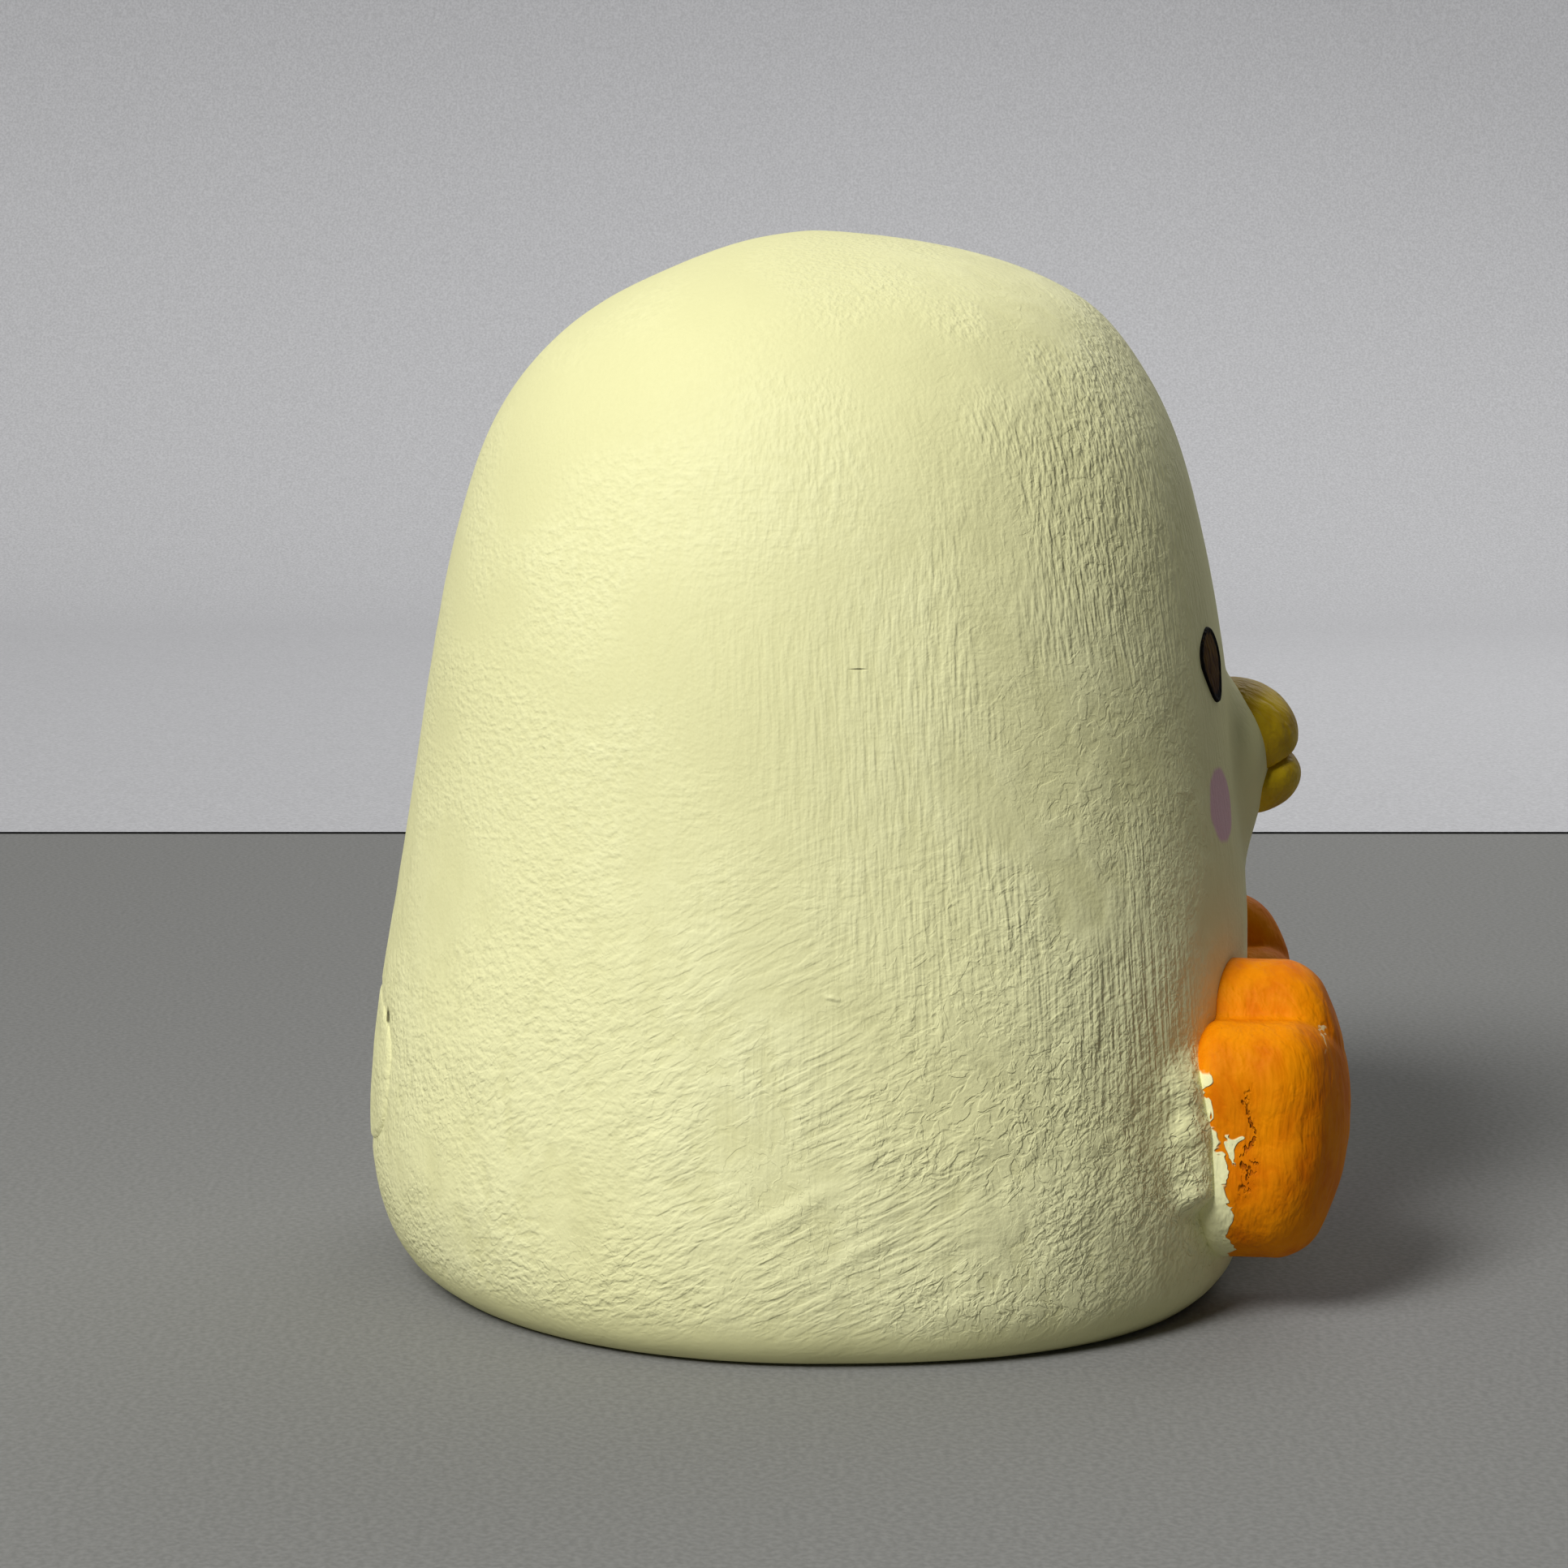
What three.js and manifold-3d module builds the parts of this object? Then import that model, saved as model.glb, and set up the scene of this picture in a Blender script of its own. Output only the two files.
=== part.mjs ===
// A hand-painted vinyl toy chick: a hollow dome-shaped body with a snap-in base, a two-part beak,
// two upturned feet whose soles face forward, inset eyes and a low tail.
// Millimetres, +Z up. The chick faces -Y and its left side is +X. The origin is the middle of the
// face that it rests on. "Forward" below is a distance along -Y, and "side" is 1 on its left.
import * as THREE from "three";
import { mergeVertices } from "three/addons/utils/BufferGeometryUtils.js";
import Module from "manifold-3d";

const wasm = await Module();
wasm.setup();
const { lerp, clamp, degToRad } = THREE.MathUtils;

// ---- Driving dimensions -------------------------------------------------------------------------

const GAP = 0.3; // clearance left at every glue line and push fit
const WALL = 2.5; // thickness of the body casting
const STAND_OFF = 0.3; // how far the foam pad holds the rim off the table
const PAST = 1; // how far a cut runs past what it cuts

// Body outline in its middle plane: height, reach forward, reach back.
const BODY_ROWS = [
  [STAND_OFF, 30.7, 30.0],
  [1.2, 32.1, 31.6],
  [4, 33.1, 33.3],
  [9, 33.5, 34.5],
  [15, 33.5, 34.4],
  [22, 33.4, 33.6],
  [30, 33.2, 32.2],
  [40, 32.2, 30.6],
  [50, 31.0, 29.0],
  [58, 29.4, 27.2],
  [65, 27.2, 24.8],
  [70, 24.5, 21.4],
  [74, 21.0, 16.6],
  [77, 15.2, 10.5],
  [79, 7.2, 4.6],
  [79.7, 0, 0],
];
// Half width over the mean reach, with a flare that dies away with height above the rim.
const BODY_WIDTH = { share: 1.058, flare: 0.08, flareHeight: 5 };
// Exponents of the plan outline, 2 being an ellipse: the chest is squarer than the back.
const SQUARENESS = { back: 2.02, chest: 2.4, face: 2.12, faceHeight: 50 };
const BODY_DETAIL = { outside: [48, 26], inside: [36, 18] }; // segments around, rings up

const BASE_OPENING = { radius: 26, height: 5 };
const PLUG = { thickness: 2.3, beadReach: 1.0, beadHeight: 1.4, rim: 2.5 };
const PAD_THICKNESS = 1.0;

const MUZZLE = { forward: 30.8, height: 39.4, half: [7.3, 4.2, 6.3] };
const BEAK = { forward: 32.6, height: 40.1, half: [5.2, 5.0, 5.3] };
const MOUTH = { height: 39.8, arch: 1.5, halfWidth: 7, halfThickness: 0.2, reach: 8, ends: [25, 45] };
const BEAK_PEGS = {
  upper: { height: 42.0, radius: 1.5 },
  lower: { height: 37.2, radius: 1.2 },
};
const BEAK_PEG_ENDS = [28, 36];
const BEAK_BORE_ENDS = [25, 40];

const EYE = { side: 11.6, height: 47.5, half: [3.1, 2.85], proud: 0.15, depth: 0.8, ends: [20, 40] };

const TAIL = { forward: -33.8, height: 15, half: [7.5, 1.6, 5.6] };
const TAIL_PEG = { radius: 1.5, ends: [-34, -29], boreEnds: [-36, -25] };

// Foot: round-edged pebbles that run into each other. The heel comes first, then the toes.
const FOOT_LOBES = [
  { side: 0, height: 13.0, radius: 9.0, front: 6.6, segments: 32 },
  { side: -5.4, height: 18.8, radius: 3.8, front: 5.7, segments: 20 },
  { side: 0, height: 22.2, radius: 3.9, front: 5.7, segments: 20 },
  { side: 5.4, height: 18.8, radius: 3.8, front: 5.7, segments: 20 },
];
const FOOT = { side: 16, seamForward: 32.6, back: 6.5, edge: 3.2, turnedOut: 9 };
const FOOT_BLOCK = 60; // side of the block that parts the back from the sole
const FOOT_NECK = { height: 13, lean: 25, radius: 3.5, ends: [-5.6, 1.2], wallForward: 31.3 };
const FOOT_BORE_ENDS = [-8, 8];
const FOOT_FLANGE = { radius: 4.6, ends: [-5.6, -3.9] };
const FOOT_PEGS = { outward: 4.5, heights: [8, 15], radius: 1.2, length: 1.8 };

const SIDES = { right: -1, left: 1 };

// ---- Paint and bare materials -------------------------------------------------------------------

const finish = (color, roughness) => new THREE.MeshStandardMaterial({ color, roughness, metalness: 0 });
const CREAM_PAINT = finish(0xefecb4, 0.75);
const YELLOW_PAINT = finish(0xc9a21a, 0.6);
const ORANGE_PAINT = finish(0xf08a0c, 0.6);
const BROWN_PAINT = finish(0x2c1408, 0.45);
const WHITE_VINYL = finish(0xe4e2da, 0.5);
const BLACK_FOAM = finish(0x141414, 0.95);

// ---- Solids from geometries ---------------------------------------------------------------------

// The solid of a closed geometry. With a frame, it is given in that group's own coordinates.
function solid(geometry, frame = null) {
  const bare = geometry.clone();
  if (frame) {
    bare.applyMatrix4(frame.matrix.clone().invert());
  }
  bare.deleteAttribute("normal");
  bare.deleteAttribute("uv");
  const merged = mergeVertices(bare, 1e-4);
  const mesh = new wasm.Mesh({
    numProp: 3,
    vertProperties: new Float32Array(merged.attributes.position.array),
    triVerts: new Uint32Array(merged.index.array),
  });
  return new wasm.Manifold(mesh);
}

function geometryOf(made) {
  const mesh = made.getMesh();
  const geometry = new THREE.BufferGeometry();
  geometry.setAttribute("position", new THREE.BufferAttribute(mesh.vertProperties, 3));
  geometry.setIndex(new THREE.BufferAttribute(mesh.triVerts, 1));
  geometry.computeVertexNormals();
  return geometry;
}

// ---- Plain shapes -------------------------------------------------------------------------------

// A round bar between two distances forward, on a level line that starts at a side and height.
function bar(radius, [from, to], height, segments = 18) {
  const shape = new THREE.CylinderGeometry(radius, radius, to - from, segments);
  shape.translate(0, (from + to) / 2, 0);
  shape.rotateX(Math.PI);
  shape.translate(0, 0, height);
  return shape;
}

function ellipsoid({ forward, height, half }, grow = 0, segments = 24) {
  const shape = new THREE.SphereGeometry(1, segments, segments / 2);
  shape.rotateX(Math.PI / 2);
  shape.scale(half[0] + grow, half[1] + grow, half[2] + grow);
  shape.translate(0, -forward, height);
  return shape;
}

function disc(radius, low, high) {
  const shape = new THREE.CylinderGeometry(radius, radius, high - low, BODY_DETAIL.outside[0]);
  shape.rotateX(Math.PI / 2);
  shape.translate(0, 0, (low + high) / 2);
  return shape;
}

// ---- Body ---------------------------------------------------------------------------------------

// The sine or cosine of a turn, pushed towards the corners of a superellipse.
const squared = (value, exponent) => Math.sign(value) * Math.abs(value) ** (2 / exponent);

function chestSquareness(height) {
  return lerp(SQUARENESS.chest, SQUARENESS.face, clamp(height / SQUARENESS.faceHeight, 0, 1));
}

function widthShare(height) {
  return BODY_WIDTH.share + BODY_WIDTH.flare * Math.exp(-height / BODY_WIDTH.flareHeight);
}

// The outer skin: a lathed profile whose rings are then stretched to the plan outline.
function bodySkin([segments, rings]) {
  const through = BODY_ROWS.map(([height, front, back]) => new THREE.Vector3(front, back, height));
  const rows = new THREE.CatmullRomCurve3(through, false, "centripetal").getPoints(rings);
  rows.unshift(new THREE.Vector3(0, 0, STAND_OFF));
  const profile = rows.map((row) => new THREE.Vector2((row.x + row.y) / 2, row.z));
  const skin = new THREE.LatheGeometry(profile, segments);
  const { position } = skin.attributes;
  for (let i = 0; i < position.count; i += 1) {
    const { x: front, y: back, z: height } = rows[i % rows.length];
    const turn = (2 * Math.PI * (Math.floor(i / rows.length) % segments)) / segments;
    const forward = Math.cos(turn) > 0;
    const exponent = forward ? chestSquareness(height) : SQUARENESS.back;
    const halfWidth = ((front + back) / 2) * widthShare(height);
    const reach = (forward ? front : back) * squared(Math.cos(turn), exponent);
    position.setXYZ(i, halfWidth * squared(Math.sin(turn), exponent), -reach, height);
  }
  skin.deleteAttribute("normal");
  skin.deleteAttribute("uv");
  return mergeVertices(skin, 1e-4);
}

// The body's outer form moved out by a distance, or in by a negative one.
function bodyForm(distance = 0, detail = BODY_DETAIL.outside) {
  const skin = bodySkin(detail);
  skin.computeVertexNormals();
  const { position, normal } = skin.attributes;
  for (let i = 0; i < position.count; i += 1) {
    const moved = new THREE.Vector3().fromBufferAttribute(normal, i).multiplyScalar(distance);
    moved.add(new THREE.Vector3().fromBufferAttribute(position, i));
    position.setXYZ(i, moved.x, moved.y, moved.z);
  }
  return skin;
}

// A hollow casting, open underneath, with a seat or a hole for each thing that is fixed to it.
function bodyShell() {
  let shell = solid(bodyForm()).add(solid(ellipsoid(MUZZLE)));
  shell = shell.subtract(solid(bodyForm(-WALL, BODY_DETAIL.inside)));
  shell = shell.subtract(solid(disc(BASE_OPENING.radius, -PAST, BASE_OPENING.height)));
  for (const { radius, height } of Object.values(BEAK_PEGS)) {
    shell = shell.subtract(solid(bar(radius + GAP, BEAK_BORE_ENDS, height)));
  }
  shell = shell.subtract(solid(ellipsoid(TAIL, GAP)));
  shell = shell.subtract(solid(bar(TAIL_PEG.radius + GAP, TAIL_PEG.boreEnds, TAIL.height)));
  const behindEyes = solid(bodyForm(-EYE.depth - GAP));
  for (const side of Object.values(SIDES)) {
    shell = shell.subtract(solid(neckBar(side, FOOT_NECK.radius + GAP, FOOT_BORE_ENDS)));
    shell = shell.subtract(solid(eyePrism(side, GAP)).subtract(behindEyes));
  }
  return shell;
}

// ---- Base ---------------------------------------------------------------------------------------

// A cup that fills the opening, with a bead round its top that snaps in behind the rim.
function basePlug() {
  const low = PAD_THICKNESS + GAP;
  const beadLow = STAND_OFF + WALL + GAP;
  const beadHigh = beadLow + PLUG.beadHeight;
  const stem = solid(disc(BASE_OPENING.radius - GAP, low, beadLow));
  const bead = solid(disc(BASE_OPENING.radius + PLUG.beadReach, beadLow, beadHigh));
  const cup = solid(disc(BASE_OPENING.radius - PLUG.rim, low + PLUG.thickness, beadHigh + PAST));
  return stem.add(bead).subtract(cup);
}

const basePad = () => solid(disc(BASE_OPENING.radius - GAP, 0, PAD_THICKNESS));

// ---- Beak ---------------------------------------------------------------------------------------

// All that lies above the mouth line, or below it. The line is high in the middle of the beak.
function mouthSide(up) {
  const { height, arch, halfWidth, halfThickness, reach } = MOUTH;
  const [from, to] = MOUTH.ends;
  const line = height + up * halfThickness;
  const shape = new THREE.Shape();
  shape.moveTo(-halfWidth, line - arch);
  shape.quadraticCurveTo(0, line + arch, halfWidth, line - arch);
  shape.lineTo(halfWidth, line + up * reach);
  shape.lineTo(-halfWidth, line + up * reach);
  const options = { depth: to - from, bevelEnabled: false, curveSegments: 10 };
  const block = new THREE.ExtrudeGeometry(shape, options);
  block.rotateX(Math.PI / 2);
  block.translate(0, -from, 0);
  return block;
}

// One half of the beak, resting on the muzzle, with the peg that goes into it.
function beakHalf(up, { height, radius }) {
  const half = solid(ellipsoid(BEAK)).intersect(solid(mouthSide(up)));
  const seated = half.subtract(solid(bodyForm(GAP))).subtract(solid(ellipsoid(MUZZLE, GAP)));
  return seated.add(solid(bar(radius, BEAK_PEG_ENDS, height)));
}

// ---- Eyes and tail ------------------------------------------------------------------------------

// An oval bar straight through the wall, from in front of the face.
function eyePrism(side, grow = 0) {
  const [from, to] = EYE.ends;
  const shape = new THREE.CylinderGeometry(1, 1, to - from, 24);
  shape.scale(EYE.half[0] + grow, 1, EYE.half[1] + grow);
  shape.translate(side * EYE.side, -(from + to) / 2, EYE.height);
  return shape;
}

function eye(side) {
  const standing = solid(eyePrism(side)).intersect(solid(bodyForm(EYE.proud)));
  return standing.subtract(solid(bodyForm(-EYE.depth)));
}

const tail = () => solid(ellipsoid(TAIL)).add(solid(bar(TAIL_PEG.radius, TAIL_PEG.ends, TAIL.height)));

// ---- Feet ---------------------------------------------------------------------------------------

// Each foot is built in a frame that stands at the middle of its seam and is turned out a little.
function footFrame(side) {
  const frame = new THREE.Group();
  frame.position.set(side * FOOT.side, -FOOT.seamForward, 0);
  frame.rotation.z = side * degToRad(FOOT.turnedOut);
  frame.updateMatrix();
  return frame;
}

// A disc with round edges, from the back of the foot to the lobe's own front.
function pebble({ side, height, radius, front, segments }) {
  const profile = new THREE.Path();
  profile.moveTo(0, -FOOT.back);
  profile.lineTo(radius - FOOT.edge, -FOOT.back);
  profile.absarc(radius - FOOT.edge, FOOT.edge - FOOT.back, FOOT.edge, -Math.PI / 2, 0);
  profile.absarc(radius - FOOT.edge, front - FOOT.edge, FOOT.edge, 0, Math.PI / 2);
  profile.lineTo(0, front);
  const shape = new THREE.LatheGeometry(profile.getPoints(2), segments);
  shape.rotateX(Math.PI);
  shape.translate(side, 0, height);
  return shape;
}

const footForm = () => FOOT_LOBES.map((lobe) => solid(pebble(lobe))).reduce((a, b) => a.add(b));

// A block that holds all of the foot in front of its seam, or all of it behind.
function seamBlock(forward) {
  const block = new THREE.BoxGeometry(FOOT_BLOCK, FOOT_BLOCK, FOOT_BLOCK);
  block.translate(0, (-forward * (FOOT_BLOCK + GAP)) / 2, 0);
  return solid(block);
}

// Two pegs behind the sole, on its outer side, where the back half is thick enough for them.
function footPegs(side, grow = 0) {
  const pegs = FOOT_PEGS.heights.map((height) => {
    const peg = bar(FOOT_PEGS.radius + grow, [-FOOT_PEGS.length - grow, PAST], height);
    return solid(peg.translate(side * FOOT_PEGS.outward, 0, 0));
  });
  return pegs[0].add(pegs[1]);
}

const footSole = (side) => footForm().intersect(seamBlock(1)).add(footPegs(side));

// A bar square to the body's wall, for the neck of a foot. Distance 0 is the wall's outside.
function neckBar(side, radius, ends) {
  const shape = bar(radius, ends, 0);
  shape.rotateZ(side * degToRad(FOOT_NECK.lean));
  shape.translate(side * FOOT.side, -FOOT_NECK.wallForward, FOOT_NECK.height);
  return shape;
}

// The back half fits against the body and holds on by a neck and a flange behind the wall.
function footBack(side, frame) {
  const fitted = footForm().subtract(solid(bodyForm(GAP), frame));
  const neck = solid(neckBar(side, FOOT_NECK.radius, FOOT_NECK.ends), frame);
  const flange = solid(neckBar(side, FOOT_FLANGE.radius, FOOT_FLANGE.ends), frame);
  return fitted.add(neck).intersect(seamBlock(-1)).add(flange).subtract(footPegs(side, GAP));
}

// ---- Assembly -----------------------------------------------------------------------------------

function piece(name, made, material) {
  const mesh = new THREE.Mesh(geometryOf(made), material);
  mesh.name = name;
  return mesh;
}

const figure = new THREE.Group();
figure.add(piece("body_shell", bodyShell(), CREAM_PAINT));
figure.add(piece("base_plug", basePlug(), WHITE_VINYL));
figure.add(piece("base_pad", basePad(), BLACK_FOAM));
figure.add(piece("beak_upper", beakHalf(1, BEAK_PEGS.upper), YELLOW_PAINT));
figure.add(piece("beak_lower", beakHalf(-1, BEAK_PEGS.lower), YELLOW_PAINT));
figure.add(piece("tail", tail(), CREAM_PAINT));
for (const [name, side] of Object.entries(SIDES)) {
  figure.add(piece(`eye_${name}`, eye(side), BROWN_PAINT));
  const foot = footFrame(side);
  foot.add(piece(`foot_${name}_back`, footBack(side, foot), ORANGE_PAINT));
  foot.add(piece(`foot_${name}_sole`, footSole(side), ORANGE_PAINT));
  figure.add(foot);
}

export default figure;
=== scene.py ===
"""The looks of a hand-painted vinyl toy chick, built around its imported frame.

Lengths in the shape functions are millimetres in the frame's own axes: +Z up, the chick faces -Y
and its left side is +X. "Forward" is a distance along -Y. Meshes are turned to metres when made.
"""

import math

import bmesh
import bpy
import numpy as np
from bpy.props import FloatProperty, FloatVectorProperty, PointerProperty
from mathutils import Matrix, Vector, noise


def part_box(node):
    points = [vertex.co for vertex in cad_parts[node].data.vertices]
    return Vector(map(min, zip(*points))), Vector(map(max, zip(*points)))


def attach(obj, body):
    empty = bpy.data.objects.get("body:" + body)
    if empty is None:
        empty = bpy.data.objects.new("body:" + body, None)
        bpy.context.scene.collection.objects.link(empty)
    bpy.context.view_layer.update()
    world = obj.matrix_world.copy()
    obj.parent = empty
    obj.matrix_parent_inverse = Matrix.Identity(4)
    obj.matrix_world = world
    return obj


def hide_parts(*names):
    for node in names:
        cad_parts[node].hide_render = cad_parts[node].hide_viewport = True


bl_info = {
    "name": "Hand-painted vinyl chick",
    "version": (1, 0, 0),
    "blender": (4, 5, 0),
    "location": "3D View > Sidebar > Chick",
    "description": "Builds the painted skin of a vinyl toy chick around its packed frame",
    "category": "Object",
}

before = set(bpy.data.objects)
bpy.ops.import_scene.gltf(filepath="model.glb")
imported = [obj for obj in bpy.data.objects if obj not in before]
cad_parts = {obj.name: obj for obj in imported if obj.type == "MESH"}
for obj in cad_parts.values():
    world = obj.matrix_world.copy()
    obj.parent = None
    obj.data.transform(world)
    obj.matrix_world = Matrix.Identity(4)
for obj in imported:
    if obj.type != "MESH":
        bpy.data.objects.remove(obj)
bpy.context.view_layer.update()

MM = 0.001
SIDES = {"right": -1, "left": 1}

# ---- Sizes, in millimetres and degrees ----------------------------------------------------------

# Body outline in its middle plane: height, reach forward, reach back.
OUTLINE = (
    (0.3, 30.7, 30.0),
    (1.2, 32.1, 31.6),
    (4, 33.1, 33.3),
    (9, 33.5, 34.5),
    (15, 33.5, 34.4),
    (22, 33.4, 33.6),
    (30, 33.2, 32.2),
    (40, 32.2, 30.6),
    (50, 31.0, 29.0),
    (58, 29.4, 27.2),
    (65, 27.2, 24.8),
    (70, 24.5, 21.4),
    (74, 21.0, 16.6),
    (77, 15.2, 10.5),
    (79, 7.2, 4.6),
    (79.7, 0, 0),
)
# A curve through those points is evened out over this length.
OUTLINE_SOFTNESS = 1.6
CROWN_STARTS, BODY_MIDDLE = 78, (0, 0, 35)
# Half width over the mean reach, with a flare that dies away with height above the rim.
WIDTH_SHARE, WIDTH_FLARE, FLARE_HEIGHT = 1.058, 0.08, 5.0
# Exponents of the plan outline, 2 being an ellipse: the chest is squarer than the back.
BACK_SQUARENESS, CHEST_SQUARENESS, FACE_SQUARENESS, FACE_HEIGHT = 2.02, 2.4, 2.12, 50.0
WALL, OPENING_RADIUS, LIP_CHAMFER = 2.5, 26.0, 0.4
BODY_SEGMENTS, BODY_RINGS, INNER_RINGS = 384, 212, 22

# Widths of the lumps and dabs that the hand left, and how high the second of each kind stands
# beside the first. They reach their full height at RELIEF_FULL above the floor.
BROAD_LUMP, SMALL_LUMP, SMALL_LUMP_SHARE = 17, 8, 0.45
UPRIGHT_DAB, LEVEL_DAB, LEVEL_DAB_SHARE = (2.4, 2.4, 6.5), (5.5, 5.5, 2.2), 0.8
RELIEF_FULL = 2.0

MUZZLE = {"forward": 30.2, "height": 37.5, "half": (7.8, 4.5, 7.5), "power": 2.3, "tilt": 16}
MUZZLE_BLEND = 2.2
# Where the muzzle may swell: this far to each side, beyond this far forward, this far up or down.
MUZZLE_ZONE = {"side": 18, "forward": 18, "height": 16}
CHEEK = {"side": 14.4, "forward": 30.2, "height": 37.3, "radius": 3.0}

UPPER_BILL = {"forward": 32.2, "height": 40.9, "half": (5.3, 5.25, 4.5)}
LOWER_BILL = {"forward": 33.0, "height": 37.9, "half": (4.7, 4.7, 3.2)}
# The mouth arches over the middle. Each lip stands off it by half of the gap and is rounded.
MOUTH_HEIGHT, MOUTH_CURVE, MOUTH_HALF_GAP, LIP_EDGE = 40.0, 0.11, 0.08, 0.55
BILL_SEAT, BILL_LUMP, BILL_LUMP_HEIGHT = 0.9, 1.6, 0.05
# The middles that the rays to each skin start from, and a third of the rays' reach each way.
UPPER_MIDDLE, LOWER_MIDDLE, BILL_REACH = (0, -35.2, 41.4), (0, -35.6, 37.2), (4.5, 3.0, 3.0)
FOOT_MIDDLE, FOOT_REACH = (16.5, -34.5, 14.5), (9, 7, 11)
TAIL_BACK, TAIL_REACH = 33.6, 2.5

# Share of each eye's half width that its paint leaves bare on the side of the beak, how much
# narrower the foot of the eye is, the way it faces and how deep it is let in.
EYE_CUT, EYE_NARROWING, EYE_OUTWARD, EYE_DEPTH = 0.13, 0.3, (0.35, -0.93, 0.1), 0.6
EYE_SEGMENTS = 96

FOOT_SIDE, FOOT_SEAM, FOOT_TURN, FOOT_SEAT = 16.0, 32.6, 9.0, 0.8
# Sole seen from the front: height of its middle, half width, half height, exponent.
SOLE_HEIGHT, SOLE_HALF, SOLE_SQUARENESS = 12.4, (9.2, 8.5), 2.35
# Toes seen from the front: side, height, radius, and how softly each joins the rest.
TOES = ((-5.2, 18.2, 4.1, 2.2), (5.2, 18.2, 4.1, 2.2), (0.0, 22.0, 4.0, 0.7))
# The front bulges to its full depth at the middle and falls back towards the edges.
FOOT_FRONT, FOOT_FALL, FOOT_FALL_POWER, FOOT_BACK = 7.1, 3.1, 1.05, 4.3
FOOT_BACK_EDGE, SOLE_EDGE = 2.2, 2.0
# Widths and heights of the lumps in the paint of the feet.
FOOT_LUMPS = ((3.5, 0.07), (1.2, 0.03))
# The bead beside each foot: how far it spreads over the body, where it starts, and its top.
BEAD_SPREAD, BEAD_BOTTOM, BEAD_TOP = 1.5, 8.6, 21

# Marks in the body paint: middle, turn in degrees, half length, half width, rise.
# Marks with a rise below 0 are sunk, and the body's material paints shade into them.
RIDGES = (
    ((-36, -2.8, 49.1), 0, 1.0, 0.13, -0.22),
    ((-10.8, 32.35, 20.6), 0, 0.25, 0.75, -0.35),
    ((-36, 2.0, 11.5), -32, 5.5, 1.1, 0.16),
    ((-36, -3.5, 9.0), -26, 4.5, 0.9, 0.12),
    ((-33, 16.5, 43.5), 28, 3.6, 0.7, 0.1),
    ((-35, -1.0, 26.5), 12, 0.8, 0.3, 0.12),
    ((33, -8.0, 30.0), 24, 4.5, 0.9, 0.12),
    ((35, 6.0, 12.0), -20, 5.0, 1.0, 0.14),
)

# The tail lies nearly flush. Seen from behind it is an oval, squarer than an ellipse, in a crease
# whose width is a share of the tail's size.
TAIL = {"height": 15.9, "half": (12.6, 5.9), "power": 2.9, "proud": 0.06, "depth": 1.6}
TAIL_EDGE, TAIL_CREASE, TAIL_CREASE_WIDTH = 0.5, 0.12, 0.08

# The camera looks along +X, this far down.
CAMERA_PLACE, CAMERA_PITCH, CAMERA_LENS, CAMERA_SENSOR = (-312.5, 2.375, 76.8), 7.25, 93.17, 36
# The paper beyond the chick: where it starts, turns up and ends, its height and half width.
BACKDROP_START, BACKDROP_TURN, BACKDROP_END = 237, 550, 700
BACKDROP_HEIGHT, BACKDROP_HALF_WIDTH, PAPER_THICKNESS = 1600, 1600, 0.3
FLOOR_RADIUS = 6000
# The key and a nearer panel beside it light the back and the crown. The fill lifts the shaded
# side a little. Each has a name, a kind, the direction towards it, its distance from the middle
# of the chick, its energy, and a sun's angle or a panel's width.
LIGHTS = (
    ("key_light", "SUN", (-0.7, 0.52, 0.7), 1000, 2.0, 18),
    ("near_panel", "AREA", (-0.62, 0.44, 0.8), 300, 0.34, 100),
    ("fill_panel", "AREA", (0.8, -0.4, 0.7), 600, 0.85, 400),
)
LIT_HEIGHT, SKY_COLOUR, SKY_STRENGTH = 45, "CFCFCF", 0.075


# ---- Small tools --------------------------------------------------------------------------------


def linear(code):
    """An sRGB hex colour as linear red, green, blue and alpha."""
    parts = [int(code[i : i + 2], 16) / 255 for i in (0, 2, 4)]
    return [p / 12.92 if p <= 0.04045 else ((p + 0.055) / 1.055) ** 2.4 for p in parts] + [1.0]


def lumps(points, size, seed=0):
    """Smooth noise from -1 to 1 at points. size is a lump's width, one number or one per axis."""
    offset = 31.7 * seed
    return np.array([noise.noise(p) for p in (points / np.asarray(size) + offset).tolist()])


def smooth_min(a, b, width):
    share = np.clip(0.5 + 0.5 * (b - a) / width, 0, 1)
    return b + (a - b) * share - width * share * (1 - share)


def smooth_max(a, b, width):
    return -smooth_min(-a, -b, width)


def rounded_max(a, b, radius):
    """Distance outside both of two solids, with the edge where they meet rounded to a radius."""
    a, b = a + radius, b + radius
    return np.minimum(np.maximum(a, b), 0) + np.hypot(np.maximum(a, 0), np.maximum(b, 0)) - radius


def catmull_rom(points, count):
    """Points along the centripetal Catmull-Rom curve through some points."""
    points = np.asarray(points, float)
    points = np.vstack([2 * points[0] - points[1], points, 2 * points[-1] - points[-2]])
    at = np.linspace(0, len(points) - 3, count)
    k = np.minimum(at.astype(int), len(points) - 4)
    share = (at - k)[:, None]
    before, start, end, after = (points[k + i] for i in range(4))
    gaps = [
        np.sqrt(np.linalg.norm(far - near, axis=1))[:, None]
        for near, far in ((before, start), (start, end), (end, after))
    ]
    leave = (start - before) / gaps[0] - (end - before) / (gaps[0] + gaps[1])
    leave = (leave + (end - start) / gaps[1]) * gaps[1]
    reach = (end - start) / gaps[1] - (after - start) / (gaps[1] + gaps[2])
    reach = (reach + (after - end) / gaps[2]) * gaps[1]
    square = 3 * (end - start) - 2 * leave - reach
    cube = 2 * (start - end) + leave + reach
    return start + leave * share + square * share**2 + cube * share**3


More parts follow.
